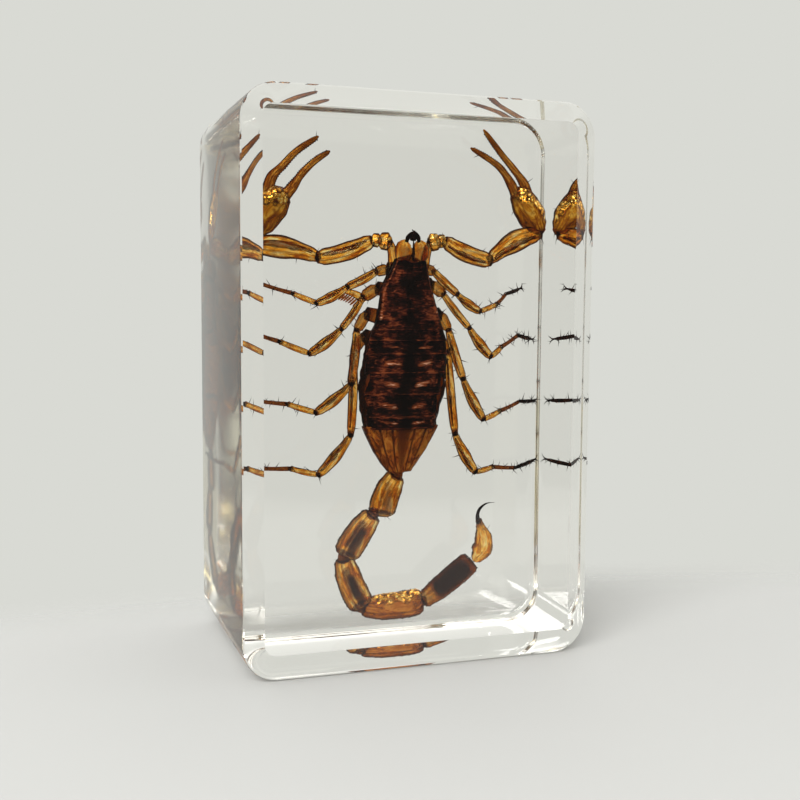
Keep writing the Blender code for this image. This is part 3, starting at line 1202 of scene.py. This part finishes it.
# %% Tree that scatters bristles or granules
def scatter_tree(name, bristle):
    """Scatters leaning cones or small balls over a surface, by the strength of a tint."""
    tree, entry = new_tree(name, [
        ("Density", "Float", 1e6), ("Length", "Float", 0.6 * MM), ("Thickness", "Float", 0.05 * MM),
        ("Lean", "Float", 0.6), ("Tint", "String", "dark"), ("Bare share", "Float", 0.2), ("Seed", "Int", 1),
        ("Material", "Material", None),
    ])
    tint = add(tree, "GeometryNodeInputNamedAttribute", {"Name": entry.outputs["Tint"]}, data_type="FLOAT")
    share = add(tree, "ShaderNodeMath", {0: tint.outputs[0], 1: entry.outputs["Bare share"]}, operation="ADD")
    density = add(tree, "ShaderNodeMath", {0: share, 1: entry.outputs["Density"]}, operation="MULTIPLY")
    spots = add(tree, "GeometryNodeDistributePointsOnFaces",
                {"Mesh": entry.outputs["Geometry"], "Density": density, "Seed": entry.outputs["Seed"]})
    if bristle:
        form = add(tree, "GeometryNodeMeshCone", {
            "Radius Bottom": entry.outputs["Thickness"], "Depth": entry.outputs["Length"], "Vertices": 5,
            "Radius Top": 0.004 * MM})
    else:
        form = add(tree, "GeometryNodeMeshIcoSphere",
                   {"Radius": entry.outputs["Thickness"], "Subdivisions": 2})
    minus = add(tree, "ShaderNodeMath", {0: entry.outputs["Lean"], 1: -1.0}, operation="MULTIPLY")
    low = add(tree, "ShaderNodeCombineXYZ", {axis: minus for axis in range(3)})
    high = add(tree, "ShaderNodeCombineXYZ", {axis: entry.outputs["Lean"] for axis in range(3)})
    tilt = add(tree, "FunctionNodeRandomValue", {"Min": low, "Max": high, "Seed": entry.outputs["Seed"]},
               data_type="FLOAT_VECTOR")
    turned = add(tree, "FunctionNodeRotateRotation",
                 {"Rotation": spots.outputs["Rotation"], "Rotate By": tilt.outputs["Value"]},
                 rotation_space="LOCAL")
    size = add(tree, "FunctionNodeRandomValue", {2: 0.45, 3: 1.25, "Seed": entry.outputs["Seed"]},
               data_type="FLOAT")
    grown = add(tree, "GeometryNodeInstanceOnPoints", {
        "Points": spots.outputs["Points"], "Instance": form, "Rotation": turned.outputs["Rotation"],
        "Scale": size.outputs[1]})
    close_tree(tree, entry, grown)
    return tree


BRISTLES = scatter_tree("bristles_on_a_shell", True)
GRANULES = scatter_tree("granules_on_a_shell", False)
print("scatter trees:", BRISTLES.name, "and", GRANULES.name)


# %% Tree that sets teeth in a row
def row_tree():
    """Sets a row of stretched balls along a curve, all pointing one way."""
    tree, entry = new_tree("teeth_along_an_edge", [
        ("Count", "Int", 12), ("Length", "Float", 0.3 * MM), ("Thickness", "Float", 0.1 * MM),
        ("Direction", "Vector", (0, 0, -1)), ("Seed", "Int", 1), ("Material", "Material", None),
    ])
    path = add(tree, "GeometryNodeResampleCurve", {"Curve": entry.outputs["Geometry"],
                                                   "Count": entry.outputs["Count"]})
    tooth = add(tree, "GeometryNodeMeshIcoSphere", {"Radius": entry.outputs["Thickness"], "Subdivisions": 2})
    ratio = add(tree, "ShaderNodeMath", {0: entry.outputs["Length"], 1: entry.outputs["Thickness"]},
                operation="DIVIDE")
    stretch = add(tree, "ShaderNodeCombineXYZ", {0: 1.0, 1: 1.0, 2: ratio})
    aim = add(tree, "FunctionNodeAlignRotationToVector", {"Vector": entry.outputs["Direction"]}, axis="Z")
    size = add(tree, "FunctionNodeRandomValue", {2: 0.8, 3: 1.1, "Seed": entry.outputs["Seed"]},
               data_type="FLOAT")
    scale = add(tree, "ShaderNodeVectorMath", {0: stretch, "Scale": size.outputs[1]}, operation="SCALE")
    grown = add(tree, "GeometryNodeInstanceOnPoints", {
        "Points": path, "Instance": tooth.outputs["Mesh"], "Rotation": aim, "Scale": scale})
    close_tree(tree, entry, grown)
    return tree


TEETH = row_tree()
print("row tree:", TEETH.name)


def curve_data(name, places):
    """A plain curve through places, for a tree to follow."""
    data = bpy.data.curves.new(name, "CURVE")
    data.dimensions = "3D"
    spline = data.splines.new("POLY")
    spline.points.add(len(places) - 1)
    for point, place in zip(spline.points, places):
        point.co = (*place, 1)
    return data


# %% Bristles and granules
small = []
for number, limb in enumerate(limbs):
    dense = 3.2e6 if limb.name.startswith("leg") else 0.5e6
    small.append(grow("bristles_" + limb.name, limb.data, BRISTLES, Density=dense, Length=0.75 * MM,
                      Thickness=0.05 * MM, Lean=0.7, Tint="dark", Bare_share=0.1, Seed=number + 1,
                      Material=FANG))
for number, part in enumerate(tail):
    if part.name != "sting_point":
        small.append(grow("bristles_" + part.name, part.data, BRISTLES, Density=0.16e6, Length=0.6 * MM,
                          Thickness=0.025 * MM, Lean=0.6, Tint="dark", Bare_share=0.3, Seed=number + 31,
                          Material=FANG))
        if part.name != "tail_collars":
            small.append(grow("granules_" + part.name, part.data, GRANULES, Density=9e6, Thickness=0.075 * MM,
                              Tint="keel", Bare_share=-0.6, Seed=number + 51,
                              Material=part.data.materials[0]))
for number, part in enumerate(body):
    if part.name in ("front_shield", "back_plates"):
        small.append(grow("granules_" + part.name, part.data, GRANULES, Density=1.6e6, Thickness=0.085 * MM,
                          Tint="keel", Bare_share=0.35, Seed=number + 71, Material=TANNED))

# %% Teeth on the fingers
for side, edges in finger_lines.items():
    out = 1 if side == "right" else -1
    for name, (line, half), facing in (("fixed", edges[0], -out), ("moving", edges[1], out)):
        across = ring_frame((line[-1] - line[0]).normalized())[0]
        last = len(line) - 1
        reach = [half * MM * smooth_profile(FINGER_PROFILE, i / last) for i in range(len(line))]
        # the teeth stand on the edge that meets the other finger, clear of its root
        row = [p + across * (facing * r) for p, r in zip(line, reach)][6:-1]
        small.append(grow("teeth_" + name + "_" + side, curve_data("row", row), TEETH, Count=24,
                          Length=0.11 * MM, Thickness=0.09 * MM, Direction=tuple(across), Seed=3,
                          Material=FANG))


# %% [markdown]
# ## Combs
# Under the body a scorpion carries two feathery sense organs, the combs. Each is a curved stem with a row
# of even teeth, so the stem is lofted and the teeth are grown along it by the same tree as the finger
# teeth.

# %% Combs under the body
def make_comb(name, root, tip, reach, count):
    """A stem from root to tip, with its teeth pointing along reach."""
    shell = Shell()
    line = curve_through([mm(*root), mm(*root).lerp(mm(*tip), 0.5) + mm(0, 0.1, 0.15), mm(*tip)], 16)
    widths = [(1.0 - 0.45 * i / 15) * MM for i in range(16)]
    loft(shell, line, widths, 0.45, (0, 180), 0.02, lambda s, a: 0.1, None, sides=18)
    stem = shell.piece("comb_" + name, AMBER)
    heading = Vector(reach).normalized()
    middles = [p + heading * (0.85 * MM) for p in line[2:]]
    teeth = grow("comb_teeth_" + name, curve_data("comb", middles), TEETH, Count=count, Length=0.56 * MM,
                 Thickness=0.12 * MM, Direction=tuple(heading), Seed=5, Material=AMBER_RED)
    return [stem, teeth]


small.extend(make_comb("left", (-3.9, 3.9, 38.9), (-6.2, 3.4, 39.8), (-0.75, 0.1, -0.65), 8))
small.extend(make_comb("right", (1.6, 5.3, 35.6), (4.7, 5.2, 33.8), (-0.35, 0.1, -0.9), 14))
for piece in small:
    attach(piece, "root")
print("small pieces:", len(small))


# %% [markdown]
# ## Floor
# The block stands on a pale matt board. A plain plane would end in a hard horizon behind the clear resin,
# so the board turns transparent towards an oval rim and melts into the backdrop. It lies a hair below the
# block, because two surfaces in one plane spoil each other's shading.

# %% Floor
FLOOR_CENTRE = (-10 * MM, -40 * MM)
FLOOR_RADII = (150 * MM, 72 * MM)
FLOOR_HALF = 300 * MM
FLOOR_GAP = 0.05 * MM


def make_floor():
    """A pale board that fades out all round, so that no horizon crosses the view."""
    material = new_material("pale_studio_board")
    tree = material.node_tree
    board = add(tree, "ShaderNodeBsdfPrincipled", {"Base Color": linear("9d9d9b"), "Roughness": 0.7})
    place = add(tree, "ShaderNodeTexCoord").outputs["Object"]
    ellipse = add(tree, "ShaderNodeMapping", {
        "Vector": place, "Location": (*FLOOR_CENTRE, 0), "Scale": (*FLOOR_RADII, 1)}, vector_type="TEXTURE")
    far = add(tree, "ShaderNodeVectorMath", {"Vector": ellipse}, operation="LENGTH").outputs["Value"]
    fade = add(tree, "ShaderNodeMapRange", {"Value": far, "From Min": 0.72, "From Max": 1.0},
               interpolation_type="SMOOTHSTEP")
    mixed = add(tree, "ShaderNodeMixShader", {0: fade, 1: board, 2: add(tree, "ShaderNodeBsdfTransparent")})
    finish_surface(tree, mixed)
    half, under = FLOOR_HALF, -FLOOR_GAP
    corners = [(-half, -half, under), (half, -half, under), (half, half, under), (-half, half, under)]
    floor = new_piece("studio_floor", corners, [[0, 1, 2, 3]], material, smooth=False)
    print("floor:", round(2 * half / MM), "mm square")


make_floor()


# %% [markdown]
# ## Light
# Clear resin looks like what surrounds it, so the surroundings matter more than the lamps. A pale backdrop
# lies behind and below, the ceiling is brighter, and the room is darker on the viewer's side. One large
# soft window stands in front and to the left.

# %% Light
BACKDROP = "d9dad4"
ROOM = "66645f"
OVERHEAD = (1.5, 1.5, 1.455, 1.0)


def make_world():
    """An even pale backdrop, brighter overhead and darker on the side the viewer stands."""
    world = bpy.data.worlds.new("soft_studio")
    scene.world = world
    world.use_nodes = True
    tree = world.node_tree
    tree.nodes.clear()
    direction = add(tree, "ShaderNodeTexCoord").outputs["Generated"]
    axes = add(tree, "ShaderNodeSeparateXYZ", {"Vector": direction})
    behind = add(tree, "ShaderNodeMath", {0: axes.outputs["Y"], 1: -1.0}, operation="MULTIPLY")
    below = add(tree, "ShaderNodeMath", {0: axes.outputs["Z"], 1: -1.0}, operation="MULTIPLY")
    light = coat(tree, linear(BACKDROP), ROOM, behind, 0.15, 0.75)
    light = coat(tree, light, BACKDROP, below, 0.14, 0.3)
    light = coat(tree, light, OVERHEAD, axes.outputs["Z"], 0.3, 0.75)
    background = add(tree, "ShaderNodeBackground", {"Color": light, "Strength": 1.0})
    add(tree, "ShaderNodeOutputWorld", {"Surface": background})


def area_light(name, place, target, size, power):
    """A rectangular lamp that looks from its place to its target, in metres and watts."""
    data = bpy.data.lights.new(name, "AREA")
    data.shape = "RECTANGLE"
    data.size, data.size_y = size
    data.energy = power
    lamp = bpy.data.objects.new(name, data)
    scene.collection.objects.link(lamp)
    lamp.location = place
    lamp.rotation_euler = (Vector(target) - Vector(place)).to_track_quat("-Z", "Y").to_euler()


make_world()
area_light("front_window", (-0.35, -0.45, 0.45), (0, 0, 0.03), (0.5, 0.5), 9.0)
print("backdrop", BACKDROP, "room", ROOM, "and one window of 9 W")

# %% [markdown]
# ## Camera
# The block is seen from close by, from the left and from a little above its middle, so its left wall shows
# beside the pane. The short distance matters: it sets how strongly the walls converge and what refracts
# into them. The lens shift moves the frame without turning the view.

# %% Camera
# millimetres for the lens, then shares of the frame, metres and radians
LENS = 50.4
LENS_SHIFT = (-0.0051, 0.0111)
CAMERA_PLACE = (-0.03946, FRONT - 0.10763, 0.03881)
TURN_RIGHT = 0.3278
TILT_DOWN = 0.0963
ROLL = 0.0076


def make_camera():
    """The camera, turned round the upright axis, then tilted down, then rolled."""
    data = bpy.data.cameras.new("camera")
    data.sensor_width = 36.0
    data.lens = LENS
    data.shift_x, data.shift_y = LENS_SHIFT
    data.clip_start = 0.01
    camera = bpy.data.objects.new("camera", data)
    scene.collection.objects.link(camera)
    turn = Matrix.Rotation(-TURN_RIGHT, 4, "Z") @ Matrix.Rotation(math.pi / 2 - TILT_DOWN, 4, "X")
    turn = turn @ Matrix.Rotation(ROLL, 4, "Z")
    camera.matrix_world = Matrix.Translation(CAMERA_PLACE) @ turn
    scene.camera = camera


make_camera()
scene.view_settings.view_transform = "Standard"
# light crosses many walls of resin and shell on its way through
scene.cycles.max_bounces = 24
scene.cycles.transmission_bounces = 24
scene.cycles.glossy_bounces = 16
print("camera with a", LENS, "mm lens")
